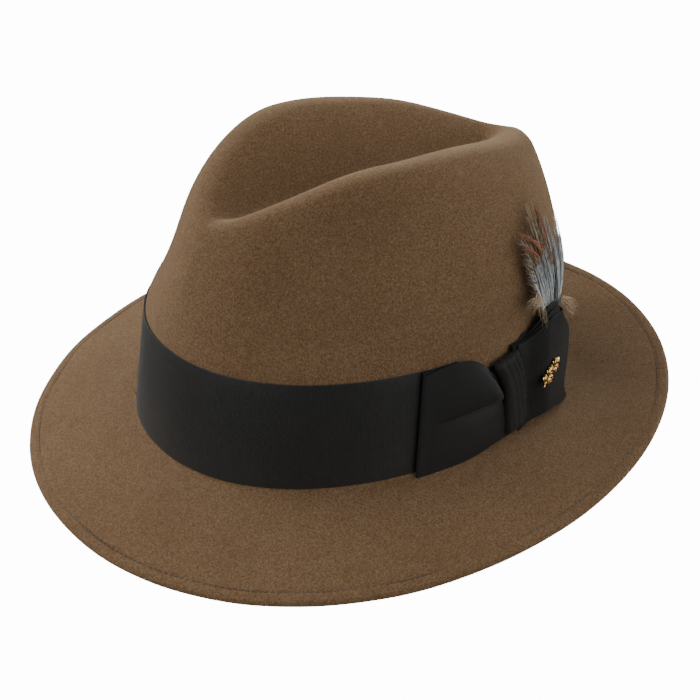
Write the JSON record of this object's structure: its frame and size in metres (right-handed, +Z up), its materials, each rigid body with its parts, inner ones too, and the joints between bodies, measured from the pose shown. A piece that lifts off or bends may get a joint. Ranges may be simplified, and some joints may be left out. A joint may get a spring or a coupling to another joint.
{
  "type": "fedora hat",
  "caption": "Centre-dent felt fedora with front pinches, snap brim, grosgrain band with flat side bow, hackle feather bundle, small pin, leather sweatband and satin lining.",
  "frame": {"origin": "centre of the head opening, in the plane where the crown meets the brim", "axes": "-Y towards the wearer's front, +X towards the wearer's left (the bow side), +Z up"},
  "size_m": [0.2771, 0.3089, 0.1471],
  "materials": {
    "felt": "pecan brown fur felt with a short brushed nap",
    "edge_thread": "dark brown sewing thread",
    "grosgrain": "black ribbed grosgrain, soft sheen",
    "band_thread": "black sewing thread",
    "gold": "bright gold plating",
    "pin_steel": "plated steel wire",
    "slate_hackle": "slate grey hackle barbs",
    "rust_hackle": "rust red hackle barbs",
    "tan_hackle": "speckled tan hackle barbs",
    "down": "soft downy barbs",
    "sweatband_leather": "smooth brown roan leather",
    "reed_tape": "dark woven tape",
    "reed_plastic": "plain extruded plastic",
    "lining_satin": "bronze satin",
    "tip_film": "thin clear film"
  },
  "bodies": {
    "hat": {"felt_body": "felt", "edge_stitch_rear": "edge_thread", "hatband": "grosgrain", "band_tack_1": "band_thread", "band_tack_2": "band_thread", "band_tack_3": "band_thread", "bow_backing": "grosgrain", "bow_front_wing": "grosgrain", "bow_rear_wing": "grosgrain", "bow_knot": "grosgrain", "pin_clutch": "gold", "sweatband": "sweatband_leather", "sweatband_seam_tape": "sweatband_leather", "sweatband_bow": "grosgrain", "sweatband_reed": "reed_plastic", "reed_tape": "reed_tape", "lining_side": "lining_satin", "lining_tip": "lining_satin", "tip_shield": "tip_film"},
    "snap_brim": {"front_brim": "felt", "edge_stitch_front": "edge_thread"},
    "pin": {"pin_badge": "gold", "pin_post": "pin_steel"},
    "feathers": {"feather_quill": "band_thread", "feather_slate": "slate_hackle", "feather_rust": "rust_hackle", "feather_tan": "tan_hackle", "feather_fluff": "down"}
  },
  "joints": [
    {"name": "brim_snap", "type": "hinge", "parent": "hat", "child": "snap_brim", "pos_m": [0, -0.1075, -0.0031], "axis": [-1, 0, 0], "range_deg": [0, 32]},
    {"name": "pin_pull", "type": "slide", "parent": "hat", "child": "pin", "axis": [0.9587, 0.2844, 0], "range_m": [0, 0.012]},
    {"name": "feather_pull", "type": "slide", "parent": "hat", "child": "feathers", "axis": [-0.07, -0.0343, 0.997], "range_m": [0, 0.035]}
  ]
}
